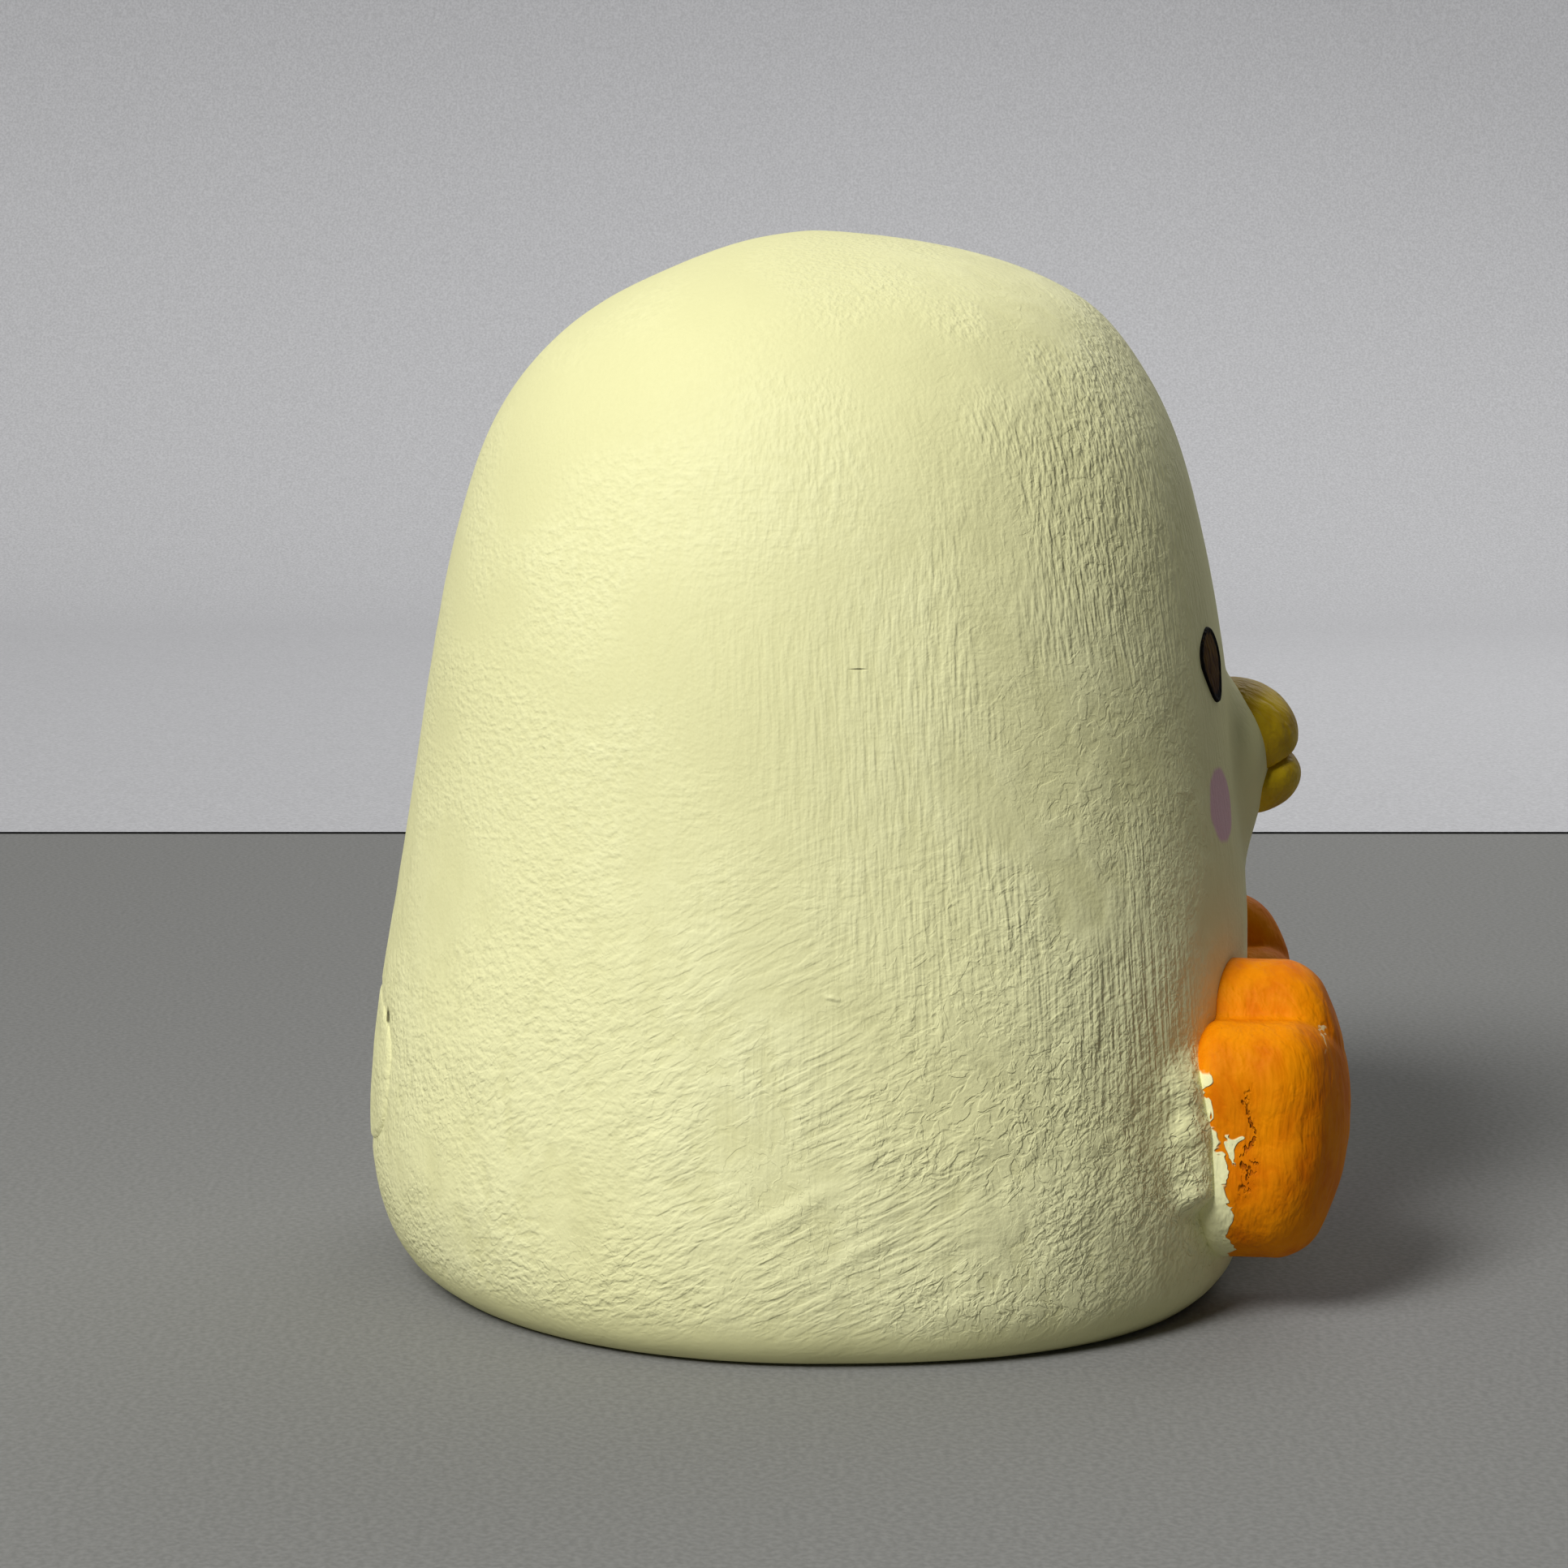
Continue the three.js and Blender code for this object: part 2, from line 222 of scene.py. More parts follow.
def ellipsoid(points, forward, height, half, power=2.0, tilt=0.0):
    """Rough distance outside an ellipsoid on the middle plane. tilt leans its top back."""
    lean = math.radians(tilt)
    ahead = -points[:, 1] - forward
    up = points[:, 2] - height
    local = np.stack(
        [
            points[:, 0],
            ahead * math.cos(lean) - up * math.sin(lean),
            up * math.cos(lean) + ahead * math.sin(lean),
        ],
        axis=1,
    )
    ratio = (np.abs(local / np.asarray(half)) ** power).sum(axis=1) ** (1 / power)
    length = np.linalg.norm(local, axis=1)
    return length * (1 - 1 / np.maximum(ratio, 1e-6))


def edge_distance(field, count, near, far, halvings):
    """The distance at which each of some searches leaves a solid, where field turns positive."""
    near, far = np.full(count, near), np.full(count, far)
    for _ in range(halvings):
        halfway = (near + far) / 2
        inside = field(halfway) < 0
        near, far = np.where(inside, halfway, near), np.where(inside, far, halfway)
    return near


def traced(field, middle, stretch, fineness):
    """Points and faces of a closed skin, where rays from a middle point find field to be 0.
    stretch is a third of the rays' reach each way."""
    ball = bmesh.new()
    bmesh.ops.create_icosphere(ball, subdivisions=fineness, radius=1)
    rays = np.array([v.co for v in ball.verts]) * np.asarray(stretch)
    faces = [[v.index for v in face.verts] for face in ball.faces]
    ball.free()
    reach = edge_distance(lambda far: field(middle + rays * far[:, None]), len(rays), 0.0, 3.0, 28)
    return middle + rays * reach[:, None], faces


def grid_faces(rings, segments):
    """Quads between rings of points that each go all the way round."""
    faces = []
    for ring in range(rings - 1):
        for i in range(segments):
            j = (i + 1) % segments
            low, high = ring * segments, (ring + 1) * segments
            faces.append((low + i, low + j, high + j, high + i))
    return faces


def make_piece(name, skin, material, nodes):
    """A smooth mesh object that stands for frame nodes. skin is points in millimetres and faces."""
    points, faces = skin
    mesh = bpy.data.meshes.new(name)
    mesh.from_pydata((np.asarray(points) * MM).tolist(), [], faces)
    mesh.update()
    tidy = bmesh.new()
    tidy.from_mesh(mesh)
    bmesh.ops.remove_doubles(tidy, verts=tidy.verts, dist=1e-7)
    bmesh.ops.recalc_face_normals(tidy, faces=tidy.faces)
    tidy.to_mesh(mesh)
    tidy.free()
    mesh.shade_smooth()
    mesh.materials.append(material)
    piece = bpy.data.objects.new(name, mesh)
    bpy.context.scene.collection.objects.link(piece)
    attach(piece, "root")
    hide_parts(*nodes)
    return piece


# ---- Body form ----------------------------------------------------------------------------------


def outline_rows(count):
    """Even rows of height, reach forward and reach back, from the rim to the crown."""
    curve = catmull_rom(OUTLINE, 4000)
    steps = np.linalg.norm(np.diff(curve, axis=0), axis=1)
    along = np.concatenate([[0], np.cumsum(steps)])
    fine = np.linspace(0, along[-1], 2001)
    curve = np.stack([np.interp(fine, along, curve[:, i]) for i in range(3)], axis=1)
    # The curve is mirrored past the crown and carried on past the rim, and then evened out.
    spread = int(OUTLINE_SOFTNESS * 4 / fine[1])
    weights = np.exp(-0.5 * (np.arange(-spread, spread + 1) * fine[1] / OUTLINE_SOFTNESS) ** 2)
    over = curve[-2 : -2 - spread : -1] * (1, -1, -1)
    under = 2 * curve[0] - curve[spread:0:-1]
    long = np.vstack([under, curve, over])
    smooth = [np.convolve(long[:, i], weights / weights.sum(), "valid") for i in range(3)]
    smooth = np.stack(smooth, axis=1)
    even = np.linspace(0, fine[-1], count)
    return np.stack([np.interp(even, fine, smooth[:, i]) for i in range(3)], axis=1)


ROWS = outline_rows(600)
WALL_ROWS = ROWS[: int(np.argmax(ROWS[:, 0] > CROWN_STARTS))]


def plan_at(height, forward):
    """Reach, half width and plan exponent of the body at some heights, ahead or behind."""
    front = np.interp(height, WALL_ROWS[:, 0], WALL_ROWS[:, 1])
    back = np.interp(height, WALL_ROWS[:, 0], WALL_ROWS[:, 2])
    share = WIDTH_SHARE + WIDTH_FLARE * np.exp(-height / FLARE_HEIGHT)
    chest = np.interp(height, (0, FACE_HEIGHT), (CHEST_SQUARENESS, FACE_SQUARENESS))
    reach = np.where(forward, front, back)
    return reach, (front + back) / 2 * share, np.where(forward, chest, BACK_SQUARENESS)


def wall_gap(points):
    """Rough distance outside the plain body wall, measured level. It holds below the crown."""
    reach, half_width, power = plan_at(points[:, 2], points[:, 1] < 0)
    across = (np.abs(points[:, 0]) / half_width) ** power
    ahead = (np.abs(points[:, 1]) / reach) ** power
    ratio = (across + ahead) ** (1 / power)
    return np.hypot(points[:, 0], points[:, 1]) * (1 - 1 / np.maximum(ratio, 1e-6))


def muzzle_gap(points):
    """Rough distance outside the muzzle's own form."""
    return ellipsoid(points, *(MUZZLE[k] for k in ("forward", "height", "half", "power", "tilt")))


def face_gap(points):
    """Distance outside the body wall and the muzzle that swells out of it."""
    return smooth_min(wall_gap(points), muzzle_gap(points), MUZZLE_BLEND)


def tail_edge(points):
    """1 on the tail's outline seen from behind, less inside it and more outside."""
    half_width, half_height = TAIL["half"]
    across = np.abs(points[:, 0] / half_width) ** TAIL["power"]
    up = np.abs((points[:, 2] - TAIL["height"]) / half_height) ** TAIL["power"]
    return (across + up) ** (1 / TAIL["power"])


def skin_relief(points):
    """How far the hand-finished surface stands off its plain form."""
    shape = bpy.context.scene.chick_shape
    broad = lumps(points, BROAD_LUMP, 1) + SMALL_LUMP_SHARE * lumps(points, SMALL_LUMP, 2)
    dabs = lumps(points, UPRIGHT_DAB, 3) + LEVEL_DAB_SHARE * lumps(points, LEVEL_DAB, 4)
    low = np.clip(1.25 - points[:, 2] / 45, 0.35, 1)
    crease = np.exp(-(((tail_edge(points) - 1) / TAIL_CREASE_WIDTH) ** 2)) * (points[:, 1] > 15)
    relief = (broad * shape.lump_height + dabs * low * shape.dab_height) / MM
    return relief - TAIL_CREASE * crease


def body_grid(rows):
    """Points of rings round the body at rows of height, reach forward and reach back."""
    turn = np.linspace(0, 2 * math.pi, BODY_SEGMENTS, endpoint=False)
    cosine, sine = np.cos(turn)[None], np.sin(turn)[None]
    height, front, back = (rows[:, i : i + 1] for i in range(3))
    share = WIDTH_SHARE + WIDTH_FLARE * np.exp(-height / FLARE_HEIGHT)
    chest = np.interp(height, (0, FACE_HEIGHT), (CHEST_SQUARENESS, FACE_SQUARENESS))
    power = np.where(cosine > 0, chest, BACK_SQUARENESS)
    along = np.sign(cosine) * np.abs(cosine) ** (2 / power)
    across = np.sign(sine) * np.abs(sine) ** (2 / power)
    x = (front + back) / 2 * share * across
    y = -np.where(cosine > 0, front, back) * along
    return np.stack([x, y, np.broadcast_to(height, x.shape)], axis=-1)


def grid_normals(grid):
    """Outward normals of a grid of rings that starts at the rim and ends at the crown."""
    up = np.gradient(grid, axis=0)
    around = np.roll(grid, -1, axis=1) - np.roll(grid, 1, axis=1)
    normal = np.cross(up, around)
    length = np.linalg.norm(normal, axis=-1, keepdims=True)
    normal = normal / np.maximum(length, 1e-9)
    normal[-1] = (0, 0, 1)
    outwards = (normal * (grid - BODY_MIDDLE)).sum(axis=-1, keepdims=True)
    return normal * np.sign(np.where(outwards == 0, 1, outwards))


def muzzle_rise(points, normals):
    """How far each point moves along its normal to lie on the muzzle."""

    def field(rise):
        return smooth_min(rise, muzzle_gap(points + normals * rise[:, None]), MUZZLE_BLEND)

    return edge_distance(field, len(points), -0.2, 7.0, 24)


def foot_local(points, side):
    """Points in a foot's own frame: side, forward of its seam, height."""
    turn = math.radians(FOOT_TURN) * side
    x = points[:, 0] - side * FOOT_SIDE
    y = points[:, 1] + FOOT_SEAM
    return np.stack(
        [
            x * math.cos(turn) + y * math.sin(turn),
            x * math.sin(turn) - y * math.cos(turn),
            points[:, 2],
        ],
        axis=1,
    )


def foot_outline_gap(local):
    """Distance outside the foot's outline, seen from the front."""
    across, up = local[:, 0], local[:, 2] - SOLE_HEIGHT
    half_width, half_height = SOLE_HALF
    ratio = np.abs(across / half_width) ** SOLE_SQUARENESS
    ratio = (ratio + np.abs(up / half_height) ** SOLE_SQUARENESS) ** (1 / SOLE_SQUARENESS)
    joined = np.hypot(across, up) * (1 - 1 / np.maximum(ratio, 1e-6))
    for side, height, radius, blend in TOES:
        toe = np.hypot(across - side, local[:, 2] - height) - radius
        joined = smooth_min(joined, toe, blend)
    return joined


def paint_bead(points):
    """The bead of filler and thick paint that bridges the body and the outer edge of each foot."""
    bead = np.zeros(len(points))
    for side in SIDES.values():
        local = foot_local(points, side)
        gap = foot_outline_gap(local) - 0.5 * lumps(points, 1.8, 9)
        outer = np.clip(local[:, 0] * side / 5, 0, 1) * (points[:, 1] < -15)
        outer *= np.clip((BEAD_TOP - points[:, 2]) / 4, 0, 1)
        outer *= np.clip((points[:, 2] - BEAD_BOTTOM) / 1.4, 0, 1)
        bead += outer * np.exp(-((np.maximum(gap, 0) / BEAD_SPREAD) ** 2))
    return bead * (1 + 0.25 * lumps(points, 2.2, 10))


# ---- Materials ----------------------------------------------------------------------------------

SMOOTH = {"interpolation_type": "SMOOTHSTEP"}


def add(tree, kind, *values, output=0, inputs=None, **settings):
    """A node with settings, and inputs by place or name. Gives one output, if it has any."""
    made = tree.nodes.new("ShaderNode" + kind)
    for name, value in settings.items():
        setattr(made, name, value)
    for name, value in {**dict(enumerate(values)), **(inputs or {})}.items():
        if isinstance(value, bpy.types.NodeSocket):
            tree.links.new(value, made.inputs[name])
        else:
            made.inputs[name].default_value = value
    return made.outputs[output] if made.outputs else None


def per_mm(*sizes):
    """Texture scale, in repeats per metre, for pattern sizes in millimetres."""
    return [1 / (size * MM) for size in sizes]


def new_material(name):
    """An empty node material, its tree and the socket that gives places in metres."""
    material = bpy.data.materials.new(name)
    material.use_nodes = True
    material.node_tree.nodes.clear()
    return material, material.node_tree, add(material.node_tree, "TexCoord", output="Object")


def finish_surface(tree, colour, coats, height, roughness, specular):
    """Ends a material with its coats of colour, each over the last by a share from 0 to 1, and
    its shader. The relief is a height in millimetres."""
    for share, coat in coats:
        colour = add(tree, "Mix", share, inputs={6: colour, 7: coat}, output=2, data_type="RGBA")
    bump = add(tree, "Bump", inputs={"Strength": 1.0, "Distance": MM, "Height": height})
    shader = add(
        tree,
        "BsdfPrincipled",
        inputs={
            "Base Color": colour,
            "Roughness": roughness,
            "Specular IOR Level": specular,
            "Normal": bump,
        },
    )
    add(tree, "OutputMaterial", inputs={"Surface": shader})


def marks(tree, place, width, length, turn=(0, 0, 0), detail=1.5, swirl=0.0, edge=0.25):
    """Relief from 0 to 1 of furrows of a width and length in millimetres. They stand upright before
    the turn, in degrees. A small edge leaves flat tops and hollows with steps between them."""
    turned = add(tree, "Mapping", place, inputs={"Rotation": [math.radians(a) for a in turn]})
    scaled = add(tree, "Mapping", turned, inputs={"Scale": per_mm(width, width, length)})
    grain = add(
        tree,
        "TexNoise",
        inputs={
            "Vector": scaled,
            "Scale": 1.0,
            "Detail": detail,
            "Roughness": 0.5,
            "Distortion": swirl,
        },
    )
    return add(tree, "MapRange", grain, 0.5 - edge, 0.5 + edge, **SMOOTH)


def patches(tree, place, size, low, high):
    """Soft patches, size in millimetres: 0 where the noise is below low, 1 where above high."""
    scaled = add(tree, "Mapping", place, inputs={"Scale": per_mm(*size)})
    cloud = add(tree, "TexNoise", inputs={"Vector": scaled, "Scale": 1.0, "Detail": 1.0})
    return add(tree, "MapRange", cloud, low, high, **SMOOTH)


def wandering(tree, place, size, reach):
    """Places moved about by slow noise, so that marks bend. size and reach are in millimetres."""
    scaled = add(tree, "Mapping", place, inputs={"Scale": per_mm(size, size, size)})
    drift = add(
        tree, "TexNoise", inputs={"Vector": scaled, "Scale": 1.0, "Detail": 0.0}, output="Color"
    )
    centred = add(tree, "VectorMath", drift, (0.5, 0.5, 0.5), operation="SUBTRACT")
    spread = (2 * reach * MM,) * 3
    return add(tree, "VectorMath", centred, spread, place, operation="MULTIPLY_ADD")


def blob(tree, place, middle, turn, half, softness=1.0):
    """A share that is 1 in an ellipsoid and fades to 0 at its edge. Sizes are in millimetres."""
    local = add(
        tree,
        "Mapping",
        place,
        inputs={
            "Location": [value * MM for value in middle],
            "Rotation": [math.radians(a) for a in turn],
            "Scale": [value * MM for value in half],
        },
        vector_type="TEXTURE",
    )
    radius = add(tree, "VectorMath", local, output="Value", operation="LENGTH")
    return add(tree, "MapRange", radius, 1.0, 1.0 - softness, **SMOOTH)


def both_sides(tree, place):
    """Places with the right side folded onto the left, for marks that both sides have."""
    axes = add(tree, "SeparateXYZ", place).node.outputs
    side = add(tree, "Math", axes["X"], operation="ABSOLUTE")
    return add(tree, "CombineXYZ", side, axes["Y"], axes["Z"])


def brushed_cream_acrylic(colours):
    # Matt artists' acrylic, laid thickly with a brush over moulded vinyl and filler. The eye sees
    # no gloss, only shallow relief: furrows 0.4 mm apart along each stroke, dabs of paint with
    # crisp edges low down, and a smoother face. The colour is even, and painted shade makes it a
    # little deeper in hollows and darker in sunken marks.
    material, tree, place = new_material("brushed_cream_acrylic")
    axes = add(tree, "SeparateXYZ", place).node.outputs
    strokes = wandering(tree, place, 16, 0.6)
    low = add(tree, "MapRange", axes["Z"], 46 * MM, 12 * MM, **SMOOTH)
    behind = add(tree, "MapRange", axes["Y"], -2 * MM, 20 * MM, **SMOOTH)
    ahead = add(tree, "MapRange", axes["Y"], 4 * MM, -26 * MM, **SMOOTH)
    rough = add(tree, "Math", low, ahead, operation="ADD")

    # Upright strokes fade out behind and near the rim, and stand higher on the chest.
    upright = add(tree, "Math", 1.1, behind, operation="SUBTRACT")
    above_rim = add(tree, "MapRange", axes["Z"], 10 * MM, 26 * MM, 0.2, 1.0, **SMOOTH)
    upright = add(tree, "Math", upright, above_rim, operation="MULTIPLY")
    chest = add(tree, "Math", ahead, 1.4, 0.9, operation="MULTIPLY_ADD")
    upright = add(tree, "Math", upright, chest, operation="MULTIPLY")
    level = add(tree, "Math", behind, 0.7, 0.35, operation="MULTIPLY_ADD")
    rising = add(tree, "Math", low, 0.9, 0.1, operation="MULTIPLY_ADD")
    dabbed = add(tree, "Math", rough, 1.6, operation="POWER")
    dabbed = add(tree, "Math", dabbed, 0.65, 0.12, operation="MULTIPLY_ADD")

    # Each mark: width, length, turn, detail, swirl, edge; height in mm; where; its patches.
    height = None
    for mark, rise, share, patch in (
        ((0.42, 8.0), 0.042, upright, ((10, 10, 17), 0.34, 0.56)),
        ((0.45, 5.0, (90, 0, 0)), 0.036, level, ((14, 14, 9), 0.35, 0.6)),
        ((0.45, 5.0, (0, 90, 0)), 0.036, level, ((14, 14, 9), 0.35, 0.6)),
        ((0.5, 2.4, (-64, 0, 0), 1.5, 0.3, 0.16), 0.06, rising, ((12, 8, 8), 0.32, 0.56)),
        ((1.0, 1.8, (-52, 15, 0), 2.5, 0.7, 0.05), 0.04, dabbed, ((8, 8, 8), 0.4, 0.62)),
        ((0.7, 1.2, (25, -20, 0), 2.5, 0.9, 0.05), 0.028, dabbed, ((7, 9, 7), 0.42, 0.62)),
        ((3.0, 4.0, (25, 10, 0), 1.0, 0.4), 0.1, rough, ((20, 20, 20), 0.2, 0.5)),
        ((0.3, 0.3, (0, 0, 0), 1.0), 0.012, 1.0, ((6, 6, 6), 0.1, 0.4)),
    ):
        where = add(tree, "Math", patches(tree, place, *patch), share, operation="MULTIPLY")
        where = add(tree, "Math", where, rise, operation="MULTIPLY")
        relief = marks(tree, strokes, *mark)
        height = add(tree, "Math", relief, where, height or 0.0, operation="MULTIPLY_ADD")

    # The face, a band along the rim and a patch above each foot are smoothed over.
    face = add(tree, "MapRange", axes["Y"], -26.5 * MM, -29.5 * MM, **SMOOTH)
    above_feet = add(tree, "MapRange", axes["Z"], 15 * MM, 21 * MM, **SMOOTH)
    face = add(tree, "Math", face, above_feet, operation="MULTIPLY")
    smooth = add(tree, "Math", face, -0.75, 1.0, operation="MULTIPLY_ADD")
    rim_band = add(tree, "MapRange", axes["Z"], 1.6 * MM, 4.5 * MM, 0.15, 1.0, **SMOOTH)
    smooth = add(tree, "Math", smooth, rim_band, operation="MULTIPLY")
    height = add(tree, "Math", height, smooth, operation="MULTIPLY")
    for middle, turn, half_length, half_width, rise in RIDGES:
        mark = blob(tree, place, middle, (turn, 0, 0), (8, half_length, half_width))
        height = add(tree, "Math", mark, rise, height, operation="MULTIPLY_ADD")

    # Over the cream: a deeper cream in clouds, painted shade in hollows, a darker painted shade in
    # the sunken marks, and pink on the cheeks.
    cloud = patches(tree, place, (22, 22, 22), 0.3, 0.7)
    hollow = add(tree, "MapRange", height, 0.1, 0.0)
    dent = add(tree, "MapRange", height, -0.02, -0.12)
    uneven = wandering(tree, both_sides(tree, place), 1.5, 0.25)
    middle = (CHEEK["side"], -CHEEK["forward"], CHEEK["height"])
    spot = blob(tree, uneven, middle, (0, 0, 0), (CHEEK["radius"],) * 3, 0.16)
    spot = add(tree, "Math", spot, 0.85, operation="MULTIPLY")
    coats = [(cloud, linear("F1EEB4")), (hollow, linear("E9E6AC")), (dent, linear("7C7850"))]
    coats.append((spot, list(colours.pink)))
    finish_surface(tree, list(colours.cream), coats, height, 0.66, 0.3)
    return material


def eye_area(name):
    """Middle and half size of an eye's paint, in metres: its frame node less the inner edge."""
    low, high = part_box(name)
    middle, half = (low + high) / 2, (high - low) / 2
    outwards = math.copysign(1, middle[0])
    middle[0] += outwards * half[0] * EYE_CUT
    half[0] *= 1 - EYE_CUT
    return middle, half


def thick_eye_acrylic(colours):
    # Satin acrylic puddled into a thick oval. The brown is streaky, with ochre in the streaks
    # towards the top, and a black line drawn round it is thicker below.
    material, tree, place = new_material("thick_eye_acrylic")
    middle, half = eye_area("eye_left")
    axes = add(tree, "SeparateXYZ", both_sides(tree, place)).node.outputs
    across = add(tree, "Math", axes["X"], middle.x, operation="SUBTRACT")
    across = add(tree, "Math", across, half.x, operation="DIVIDE")
    up = add(tree, "Math", axes["Z"], middle.z, operation="SUBTRACT")
    up = add(tree, "Math", up, half.z, operation="DIVIDE")
    square = add(tree, "Math", across, across, operation="MULTIPLY")
    square = add(tree, "Math", up, up, square, operation="MULTIPLY_ADD")
    oval = add(tree, "Math", square, operation="SQRT")
    line = add(tree, "Math", up, -0.1, oval, operation="MULTIPLY_ADD")
    line = add(tree, "Math", across, -0.07, line, operation="MULTIPLY_ADD")
    line = add(tree, "Math", marks(tree, place, 0.5, 0.9), 0.12, line, operation="MULTIPLY_ADD")
    outline = add(tree, "MapRange", line, 0.78, 0.88, **SMOOTH)
    streaks = marks(tree, place, 0.3, 1.6, (0, 12, 0))
    top = add(tree, "MapRange", axes["Z"], 45.5 * MM, 50.5 * MM, 0.15, 1.0)
    ochre_at_top = add(tree, "Math", streaks, top, operation="MULTIPLY")
    coats = [(ochre_at_top, linear("7A5C14")), (outline, list(colours.black))]
    height = add(tree, "Math", streaks, 0.06, operation="MULTIPLY")
    finish_surface(tree, list(colours.brown), coats, height, 0.7, 0.04)
    return material


def brushed_yellow_acrylic(colours):
    # Satin acrylic brushed on the beak. Mustard yellow with a soft low gloss and fine furrows 0.35
    # mm apart along the bill. A painted highlight makes the raised dabs paler than between them.
    material, tree, place = new_material("brushed_yellow_acrylic")
    strokes = wandering(tree, place, 5, 0.6)
    fine = marks(tree, strokes, 0.35, 2.2, (70, 0, 0))
    dabs = marks(tree, strokes, 0.9, 1.4, (40, 0, 0), 2.0, 0.5)
    height = add(tree, "Math", fine, 0.03, operation="MULTIPLY")
    height = add(tree, "Math", dabs, 0.07, height, operation="MULTIPLY_ADD")
    shade = patches(tree, place, (2.5, 2.5, 2.5), 0.3, 0.7)
    # A paler coat on the raised dabs is a painted highlight.
    thick = add(tree, "Math", dabs, 0.3, operation="MULTIPLY")
    coats = [(shade, list(colours.yellow)), (thick, linear("DFC12A"))]
    finish_surface(tree, linear("AE8A0A"), coats, height, 0.55, 0.2)
    return material


def brushed_orange_acrylic(colours):
    # Satin acrylic brushed on the feet. Strong orange with a soft low gloss and upright furrows
    # 0.4 mm apart. It is pitted along a joint, chipped at the edge of the sole, and the body's
    # cream laps over it behind in a ragged edge.
    material, tree, place = new_material("brushed_orange_acrylic")
    mirrored = both_sides(tree, place)
    side = add(tree, "SeparateXYZ", mirrored, output="X")
    ragged = wandering(tree, wandering(tree, mirrored, 1.7, 1.1), 0.5, 0.4)
    axes = add(tree, "SeparateXYZ", ragged).node.outputs

    strokes = wandering(tree, place, 6, 0.7)
    fine = marks(tree, strokes, 0.4, 3.0)
    dabs = marks(tree, strokes, 0.9, 1.5, (20, 0, 0), 2.0, 0.4)
    height = add(tree, "Math", fine, 0.03, operation="MULTIPLY")
    height = add(tree, "Math", dabs, 0.06, height, operation="MULTIPLY_ADD")
    shade = patches(tree, place, (3, 3, 5), 0.3, 0.7)
    # A paler coat on the raised dabs is a painted highlight.
    thick = add(tree, "Math", dabs, 0.3, operation="MULTIPLY")
    coats = [(shade, list(colours.orange)), (thick, linear("FBA010"))]

    # Pits follow the joint between the back and the sole, low on the outer side.
    grooves = marks(tree, place, 0.3, 0.5, (0, 0, 0), 1.0)
    pits = add(tree, "MapRange", grooves, 0.56, 0.3, **SMOOTH)
    along_joint = blob(tree, ragged, (25, -31.3, 14.2), (2, 0, 0), (4, 0.5, 4.8), 0.6)
    pits = add(tree, "Math", pits, along_joint, operation="MULTIPLY")
    height = add(tree, "Math", pits, -0.25, height, operation="MULTIPLY_ADD")
    # Painted shade darkens the pits.
    coats.append((add(tree, "Math", pits, 0.7, operation="MULTIPLY"), linear("8A3A02")))

    # Pale chips show where the sole's edge meets the crease between the toes.
    chips = blob(tree, ragged, (19.5, -36.9, 21.0), (0, 0, 0), (4.2, 0.55, 1.0), 0.25)
    flaked = add(tree, "Math", grooves, 0.5, operation="GREATER_THAN")
    coats.append((add(tree, "Math", chips, flaked, operation="MULTIPLY"), linear("F6D9A0")))

    # Cream paint laps over the back of the outer side, below the toe. Its edge leans forward.
    edge = add(tree, "Math", axes["Z"], -0.17, 31.3 * MM, operation="MULTIPLY_ADD")
    edge = add(tree, "Math", edge, axes["Y"], operation="ADD")
    lap = add(tree, "MapRange", edge, -0.06 * MM, 0.06 * MM, **SMOOTH)
    below_toe = add(tree, "MapRange", axes["Z"], 19.4 * MM, 18.9 * MM, **SMOOTH)
    outer = add(tree, "MapRange", side, 17.5 * MM, 18.5 * MM, **SMOOTH)
    lap = add(tree, "Math", lap, below_toe, operation="MULTIPLY")
    lap = add(tree, "Math", lap, outer, operation="MULTIPLY")
    island = blob(tree, ragged, (25, -29.9, 13.4), (-8, 0, 0), (4, 0.4, 1.3), 0.2)
    lap = add(tree, "Math", lap, island, operation="MAXIMUM")
    coats.append((lap, list(colours.cream)))
    height = add(tree, "Math", lap, 0.12, height, operation="MULTIPLY_ADD")
    finish_surface(tree, linear("DE7301"), coats, height, 0.6, 0.06)
    return material


def moulded_bare_vinyl(colours):
    # Soft PVC poured into a mould and left bare. It has an even low gloss, a faint cloudiness in
    # its colour and a fine orange-peel skin with dimples about 0.8 mm across.
    material, tree, place = new_material("moulded_bare_vinyl")
    cloud = patches(tree, place, (9, 9, 9), 0.3, 0.7)
    height = add(tree, "Math", marks(tree, place, 0.8, 0.8), 0.012, operation="MULTIPLY")
    coats = [(cloud, linear("D6D3C8"))]
    finish_surface(tree, list(colours.vinyl), coats, height, 0.42, 0.5)
    return material


def closed_cell_foam(colours):
    # Sheet foam, such as EVA or neoprene, cut from a block. Its sliced cells, about 0.4 mm across,
    # make a matt, finely pitted surface, and painted shade makes the hollows darker than the walls.
    material, tree, place = new_material("closed_cell_foam")
    scaled = add(tree, "Mapping", place, inputs={"Scale": per_mm(0.4, 0.4, 0.4)})
    cells = add(tree, "TexVoronoi", inputs={"Vector": scaled, "Scale": 1.0})
    height = add(tree, "Math", cells, 0.1, operation="MULTIPLY")
    finish_surface(tree, list(colours.foam), [(cells, linear("2C2C2C"))], height, 0.95, 0.2)
    return material


def plain_paper(name, colour):
    # Matt seamless paper, as studio floors and backdrops are made of. It has no gloss, a faint
    # unevenness of tone, and a grain of fibres too fine to show, drawn 0.5 mm across.
    material, tree, place = new_material(name)
    tone = patches(tree, place, (0.5, 0.5, 0.5), 0.2, 0.8)
    height = add(tree, "Math", tone, 0.02, operation="MULTIPLY")
    deeper = [value * 0.8 for value in colour[:3]] + [1.0]
    finish_surface(tree, colour, [(tone, deeper)], height, 0.9, 0.15)
    return material


# ---- Properties ---------------------------------------------------------------------------------


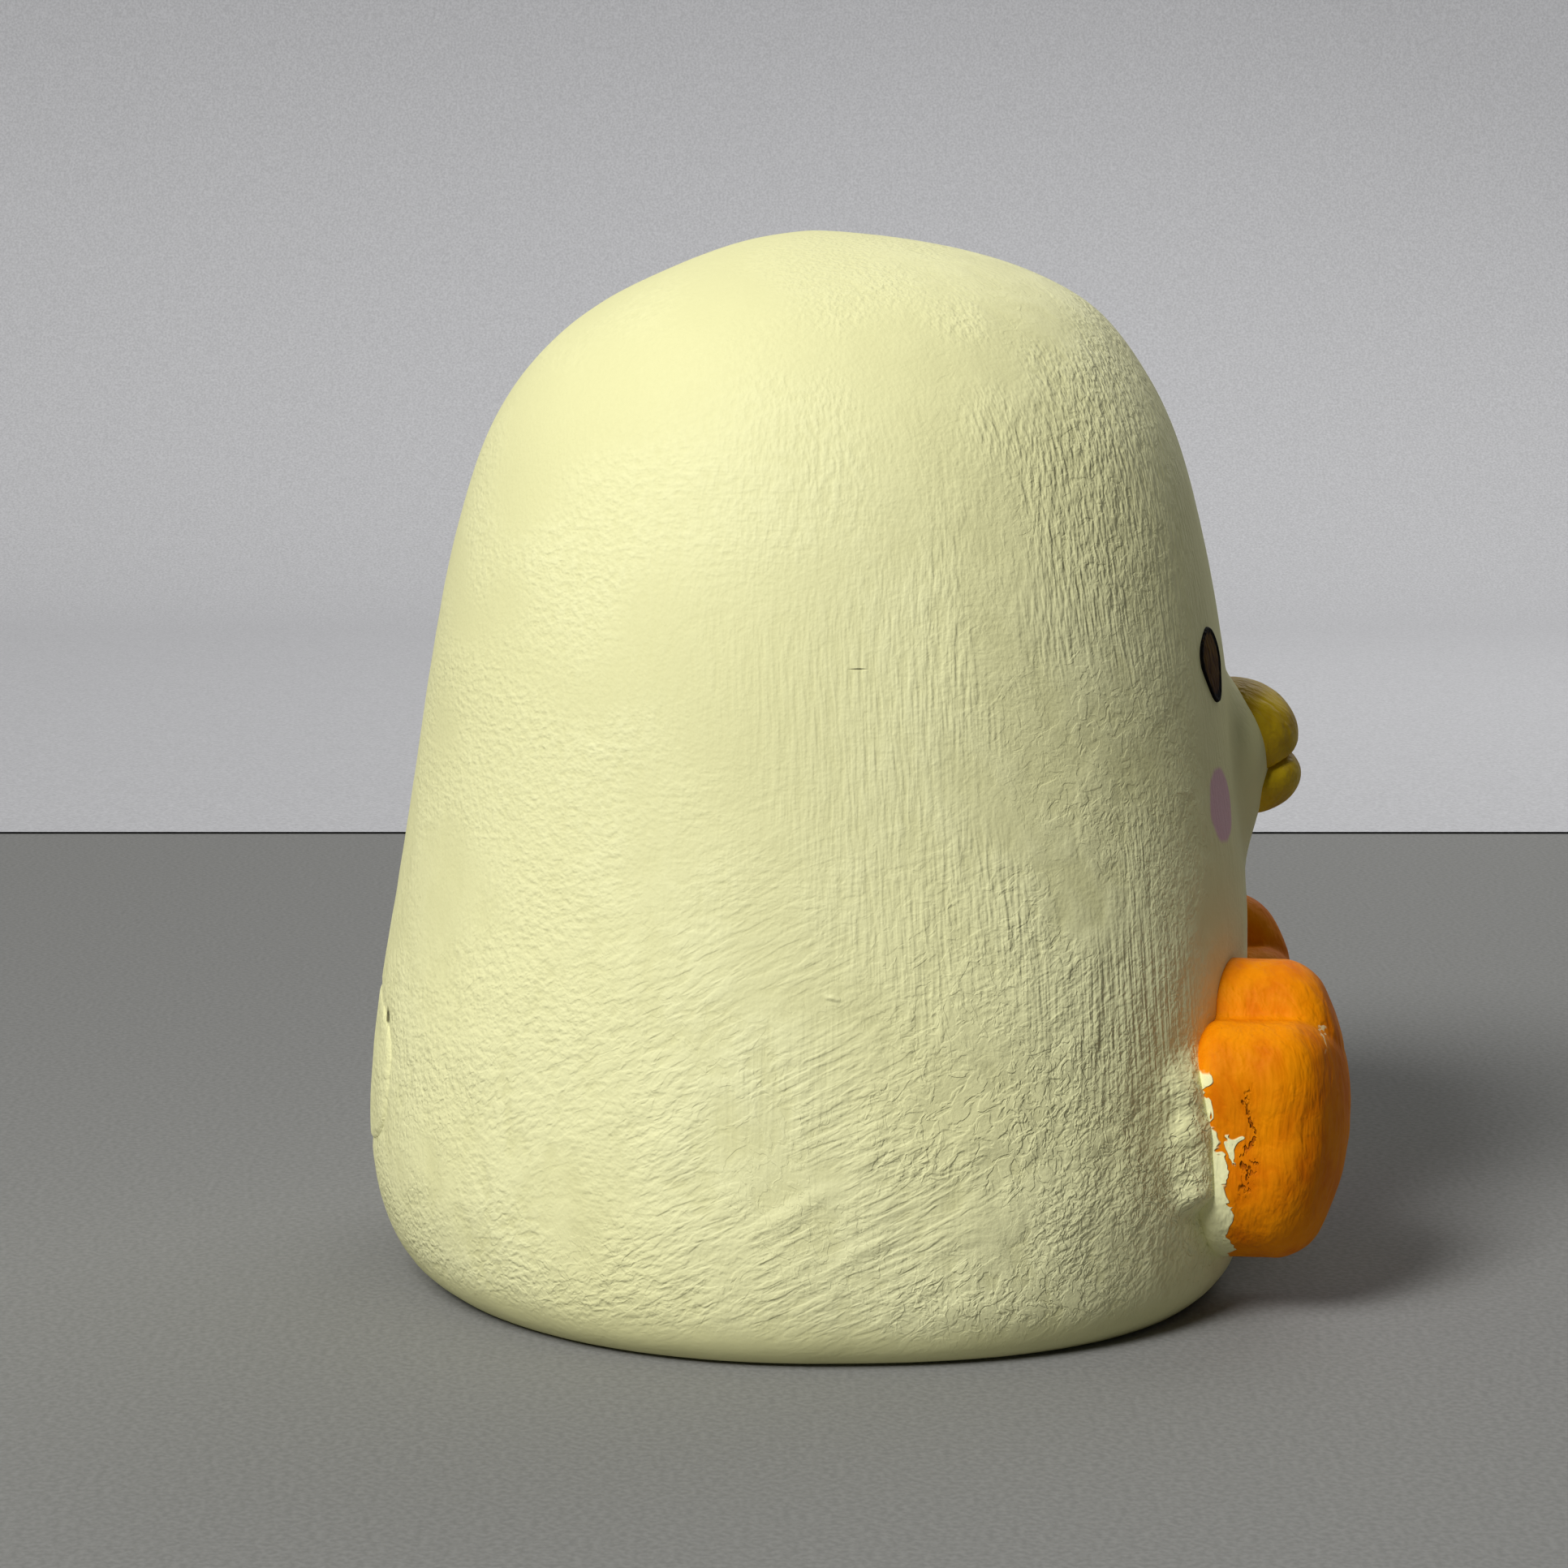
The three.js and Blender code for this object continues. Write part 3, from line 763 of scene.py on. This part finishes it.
def length_prop(name, description, millimetres):
    return FloatProperty(
        name=name, description=description, default=millimetres * MM, unit="LENGTH", precision=5
    )


def colour_prop(name, description, code):
    return FloatVectorProperty(
        name=name, description=description, default=linear(code), size=4, subtype="COLOR"
    )


class ChickShape(bpy.types.PropertyGroup):
    """Heights of the marks that the maker's hand left, and how thick the paint lies."""

    lump_height: length_prop("Lump height", "Height of the broad lumps left by shaping", 0.13)
    dab_height: length_prop("Dab height", "Height of the dabs of filler and thick paint", 0.05)
    bead_height: length_prop("Bead height", "Height of the bead of paint beside each foot", 1.4)
    eye_height: length_prop("Eye paint", "How far the paint of each eye stands proud", 0.1)


class ChickColours(bpy.types.PropertyGroup):
    """Colours of the paints and of the bare materials."""

    cream: colour_prop("Cream", "Acrylic on the body", "F6F4BE")
    yellow: colour_prop("Yellow", "Acrylic on the beak", "CDAC0F")
    orange: colour_prop("Orange", "Acrylic on the feet", "F08C00")
    brown: colour_prop("Brown", "Acrylic in the eyes", "3E2304")
    black: colour_prop("Black", "Line round the eyes", "0B0908")
    pink: colour_prop("Pink", "Spots on the cheeks", "E0AFC4")
    vinyl: colour_prop("Bare vinyl", "Plug under the base", "E4E2DA")
    foam: colour_prop("Foam", "Pad under the plug", "161616")
    floor: colour_prop("Floor", "Paper that the chick stands on", "8F8F8C")
    backdrop: colour_prop("Backdrop", "Paper behind the chick", "D0D0D2")


# ---- Pieces -------------------------------------------------------------------------------------


class CHICK_OT_body(bpy.types.Operator):
    """Make the hollow body with its muzzle and hand-finished skin"""

    bl_idname = "chick.body"
    bl_label = "Body"

    def execute(self, context):
        shape, colours = context.scene.chick_shape, context.scene.chick_colours
        rows = outline_rows(BODY_RINGS)
        grid = body_grid(rows)
        normals = grid_normals(grid)
        points, outward = grid.reshape(-1, 3), normals.reshape(-1, 3)
        facing = points[:, 1] < -MUZZLE_ZONE["forward"]
        facing &= np.abs(points[:, 2] - MUZZLE["height"]) < MUZZLE_ZONE["height"]
        facing &= np.abs(points[:, 0]) < MUZZLE_ZONE["side"]
        rise = np.zeros(len(points))
        rise[facing] = muzzle_rise(points[facing], outward[facing])
        moved = points + outward * rise[:, None]
        fade = np.clip(points[:, 2] / RELIEF_FULL, 0.0, 1.0)
        extra = skin_relief(moved) * fade + paint_bead(moved) * shape.bead_height / MM * fade
        moved += outward * extra[:, None]
        moved[-BODY_SEGMENTS:] = moved[-BODY_SEGMENTS:].mean(axis=0)
        outside = moved.reshape(grid.shape)

        turn = np.linspace(0, 2 * math.pi, BODY_SEGMENTS, endpoint=False)
        circle = np.stack([np.sin(turn), -np.cos(turn), np.zeros_like(turn)], axis=1)
        rim = outside[0].copy()
        lip = circle * (OPENING_RADIUS + LIP_CHAMFER) + (0, 0, rim[0, 2])
        lip_up = circle * OPENING_RADIUS + (0, 0, rim[0, 2] + LIP_CHAMFER)
        lip_top = circle * OPENING_RADIUS + (0, 0, WALL + rim[0, 2])
        inner_rows = outline_rows(INNER_RINGS + 2)[1:]
        inside = body_grid(inner_rows)
        inside -= grid_normals(inside) * WALL
        inside[:, :, 2] = np.maximum(inside[:, :, 2], WALL + rim[0, 2])
        inside[-1] = inside[-1].mean(axis=0)
        rings = [inside[k] for k in range(len(inside) - 1, -1, -1)]
        rings += [lip_top, lip_up, lip, rim]
        rings += [outside[k] for k in range(1, len(outside))]
        skin = np.concatenate(rings), grid_faces(len(rings), BODY_SEGMENTS)
        cream = brushed_cream_acrylic(colours)
        make_piece("painted_body", skin, cream, ["body_shell"])
        return {"FINISHED"}


def bill_field(points, bill, up):
    """Upper or lower half of the beak: an ellipsoid cut along the mouth, let into the muzzle."""
    form = ellipsoid(points, bill["forward"], bill["height"], bill["half"])
    mouth = MOUTH_HEIGHT - MOUTH_CURVE * points[:, 0] ** 2
    side_of_mouth = (mouth - points[:, 2]) * up + MOUTH_HALF_GAP
    seated = smooth_max(form, side_of_mouth, LIP_EDGE)
    seated = np.maximum(seated, -face_gap(points) - BILL_SEAT)
    return seated - BILL_LUMP_HEIGHT * lumps(points, BILL_LUMP, 5)


class CHICK_OT_beak(bpy.types.Operator):
    """Make the two halves of the beak"""

    bl_idname = "chick.beak"
    bl_label = "Beak"

    def execute(self, context):
        colours = context.scene.chick_colours
        material = brushed_yellow_acrylic(colours)
        for name, bill, up, middle in (
            ("upper", UPPER_BILL, 1, UPPER_MIDDLE),
            ("lower", LOWER_BILL, -1, LOWER_MIDDLE),
        ):

            def field(points, bill=bill, up=up):
                return bill_field(points, bill, up)

            skin = traced(field, np.array(middle, float), BILL_REACH, 5)
            make_piece(f"painted_beak_{name}", skin, material, [f"beak_{name}"])
        return {"FINISHED"}


class CHICK_OT_eyes(bpy.types.Operator):
    """Make the thick painted oval of each eye"""

    bl_idname = "chick.eyes"
    bl_label = "Eyes"

    def execute(self, context):
        shape, colours = context.scene.chick_shape, context.scene.chick_colours
        material = thick_eye_acrylic(colours)
        for name, side in SIDES.items():
            middle, half = (value / MM for value in eye_area(f"eye_{name}"))
            turn = np.linspace(0, 2 * math.pi, EYE_SEGMENTS, endpoint=False)
            wobble = 1 + 0.03 * np.sin(3 * turn + side) + 0.02 * np.sin(5 * turn)
            narrowing = 1 - EYE_NARROWING * np.clip(-np.sin(turn), 0, 1)
            outward = np.array(EYE_OUTWARD) * (side, 1, 1)
            proud = shape.eye_height / MM
            # Share of the radius and stand off the wall, out to the raised edge and then inwards.
            profile = [(r, proud) for r in np.linspace(0, 0.84, 20)]
            profile += [(0.88, proud + 0.04), (0.92, proud + 0.1), (0.96, proud + 0.07)]
            profile += [(0.985, proud - 0.05), (1.0, -0.25)]
            profile += [(0.97, -EYE_DEPTH), (0.5, -EYE_DEPTH), (0, -EYE_DEPTH)]
            rings = []
            for radius, stand in profile:
                x = middle.x + half.x * radius * wobble * narrowing * np.cos(turn)
                z = middle.z + half.z * radius * wobble * np.sin(turn)
                reach, half_width, power = plan_at(z, np.full(EYE_SEGMENTS, True))
                forward = reach * (1 - (np.abs(x) / half_width) ** power) ** (1 / power)
                ring = np.stack([x, -forward, z], axis=1)
                rings.append(ring + outward * (stand + skin_relief(ring))[:, None])
            skin = np.concatenate(rings), grid_faces(len(rings), EYE_SEGMENTS)
            make_piece(f"painted_eye_{name}", skin, material, [f"eye_{name}"])
        return {"FINISHED"}


class CHICK_OT_tail(bpy.types.Operator):
    """Make the low tail"""

    bl_idname = "chick.tail"
    bl_label = "Tail"

    def execute(self, context):
        colours = context.scene.chick_colours

        def field(points):
            face = wall_gap(points) - TAIL["proud"] - 0.04 * lumps(points, 3, 6)
            edge = (tail_edge(points) - 1) * TAIL["half"][1]
            plate = rounded_max(face, edge, TAIL_EDGE)
            return np.maximum(plate, -wall_gap(points) - TAIL["depth"])

        half_width, half_height = TAIL["half"]
        middle = np.array((0, TAIL_BACK, TAIL["height"]))
        skin = traced(field, middle, (half_width, TAIL_REACH, half_height), 6)
        cream = bpy.data.materials.get("brushed_cream_acrylic") or brushed_cream_acrylic(colours)
        make_piece("painted_tail", skin, cream, ["tail"])
        return {"FINISHED"}


def foot_field(points, side):
    """A foot that is a thick slab with a toed outline, rounded edges and a bulging sole."""
    local = foot_local(points, side)
    middle = (SOLE_HEIGHT + TOES[2][1] + TOES[2][2] - SOLE_HALF[1]) / 2
    across = np.abs(local[:, 0] / SOLE_HALF[0]) ** 2
    up = np.abs((local[:, 2] - middle) / (middle - SOLE_HEIGHT + SOLE_HALF[1])) ** 2
    fall = FOOT_FALL * np.clip(across + up, 0, 1.6) ** FOOT_FALL_POWER
    front = local[:, 1] - FOOT_FRONT + fall
    slab = rounded_max(foot_outline_gap(local), -local[:, 1] - FOOT_BACK, FOOT_BACK_EDGE)
    slab = rounded_max(slab, front, SOLE_EDGE)
    seated = np.maximum(slab, -wall_gap(points) - FOOT_SEAT)
    for seed, (width, height) in enumerate(FOOT_LUMPS, 7):
        seated -= height * lumps(points, width, seed)
    return seated


class CHICK_OT_feet(bpy.types.Operator):
    """Make both feet"""

    bl_idname = "chick.feet"
    bl_label = "Feet"

    def execute(self, context):
        colours = context.scene.chick_colours
        material = brushed_orange_acrylic(colours)
        for name, side in SIDES.items():
            middle = np.array(FOOT_MIDDLE) * (side, 1, 1)
            nodes = [f"foot_{name}_back", f"foot_{name}_sole"]

            def field(points, side=side):
                return foot_field(points, side)

            skin = traced(field, middle, FOOT_REACH, 6)
            make_piece(f"painted_foot_{name}", skin, material, nodes)
        return {"FINISHED"}


class CHICK_OT_base(bpy.types.Operator):
    """Give the plug and the pad under the base their materials"""

    bl_idname = "chick.base"
    bl_label = "Base"

    def execute(self, context):
        colours = context.scene.chick_colours
        for node, make in (("base_plug", moulded_bare_vinyl), ("base_pad", closed_cell_foam)):
            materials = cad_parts[node].data.materials
            materials.clear()
            materials.append(make(colours))
        return {"FINISHED"}


class CHICK_OT_stage(bpy.types.Operator):
    """Set up the floor, the studio lights and the camera"""

    bl_idname = "chick.stage"
    bl_label = "Stage"

    def execute(self, context):
        scene, colours = context.scene, context.scene.chick_colours
        turn = np.linspace(0, 2 * math.pi, 97)[:-1]
        disc = [(FLOOR_RADIUS * math.cos(a), FLOOR_RADIUS * math.sin(a), 0) for a in turn]

        # A paler sheet lies beyond the chick's left side and sweeps up into a wall, which throws
        # soft light back.
        radius = BACKDROP_END - BACKDROP_TURN
        sweep = [(BACKDROP_START, PAPER_THICKNESS)]
        for angle in np.linspace(0, math.pi / 2, 13):
            height = PAPER_THICKNESS + radius - radius * math.cos(angle)
            sweep.append((BACKDROP_TURN + radius * math.sin(angle), height))
        sweep.append((BACKDROP_END, BACKDROP_HEIGHT))
        sides = (-BACKDROP_HALF_WIDTH, BACKDROP_HALF_WIDTH)
        corners = [(x, y, z) for x, z in sweep for y in sides]
        strips = [(2 * k, 2 * k + 1, 2 * k + 3, 2 * k + 2) for k in range(len(sweep) - 1)]
        for name, points, faces in (
            ("floor", disc, [tuple(range(len(disc)))]),
            ("backdrop", corners, strips),
        ):
            mesh = bpy.data.meshes.new(name)
            mesh.from_pydata((np.array(points) * MM).tolist(), [], faces)
            mesh.shade_smooth()
            mesh.materials.append(plain_paper(f"pale_paper_{name}", list(getattr(colours, name))))
            paper = bpy.data.objects.new(name, mesh)
            scene.collection.objects.link(paper)

        camera_data = bpy.data.cameras.new("camera")
        camera_data.sensor_width = CAMERA_SENSOR
        camera_data.lens = CAMERA_LENS
        camera_data.clip_end = 100
        camera = bpy.data.objects.new("camera", camera_data)
        camera.location = Vector(CAMERA_PLACE) * MM
        camera.rotation_euler = (math.radians(90 - CAMERA_PITCH), 0, math.radians(-90))
        scene.collection.objects.link(camera)
        scene.camera = camera

        for name, kind, towards, distance, energy, size in LIGHTS:
            light_data = bpy.data.lights.new(name, kind)
            light_data.energy = energy
            if kind == "SUN":
                light_data.angle = math.radians(size)
            else:
                light_data.size = size * MM
            light = bpy.data.objects.new(name, light_data)
            towards = Vector(towards).normalized()
            light.location = (towards * distance + Vector((0, 0, LIT_HEIGHT))) * MM
            light.rotation_euler = towards.to_track_quat("Z", "Y").to_euler()
            light.visible_camera = False
            scene.collection.objects.link(light)

        world = bpy.data.worlds.new("studio")
        world.use_nodes = True
        sky = world.node_tree.nodes["Background"]
        sky.inputs["Color"].default_value = linear(SKY_COLOUR)
        sky.inputs["Strength"].default_value = SKY_STRENGTH
        scene.world = world
        scene.view_settings.view_transform = "Standard"
        return {"FINISHED"}


class CHICK_PT_panel(bpy.types.Panel):
    """Lists the sizes, the colours and the pieces"""

    bl_idname = "CHICK_PT_panel"
    bl_label = "Painted chick"
    bl_space_type = "VIEW_3D"
    bl_region_type = "UI"
    bl_category = "Chick"

    def draw(self, context):
        for group in (context.scene.chick_shape, context.scene.chick_colours):
            for name in group.__annotations__:
                self.layout.prop(group, name)
        for operator in OPERATORS:
            self.layout.operator(operator.bl_idname)


OPERATORS = (
    CHICK_OT_stage,
    CHICK_OT_body,
    CHICK_OT_beak,
    CHICK_OT_eyes,
    CHICK_OT_tail,
    CHICK_OT_feet,
    CHICK_OT_base,
)
CLASSES = (ChickShape, ChickColours, *OPERATORS, CHICK_PT_panel)


def register():
    for cls in CLASSES:
        bpy.utils.register_class(cls)
    bpy.types.Scene.chick_shape = PointerProperty(type=ChickShape)
    bpy.types.Scene.chick_colours = PointerProperty(type=ChickColours)


def unregister():
    del bpy.types.Scene.chick_colours
    del bpy.types.Scene.chick_shape
    for cls in reversed(CLASSES):
        bpy.utils.unregister_class(cls)


def main():
    register()
    for operator in OPERATORS:
        group, name = operator.bl_idname.split(".")
        getattr(getattr(bpy.ops, group), name)()


if __name__ == "__main__":
    main()
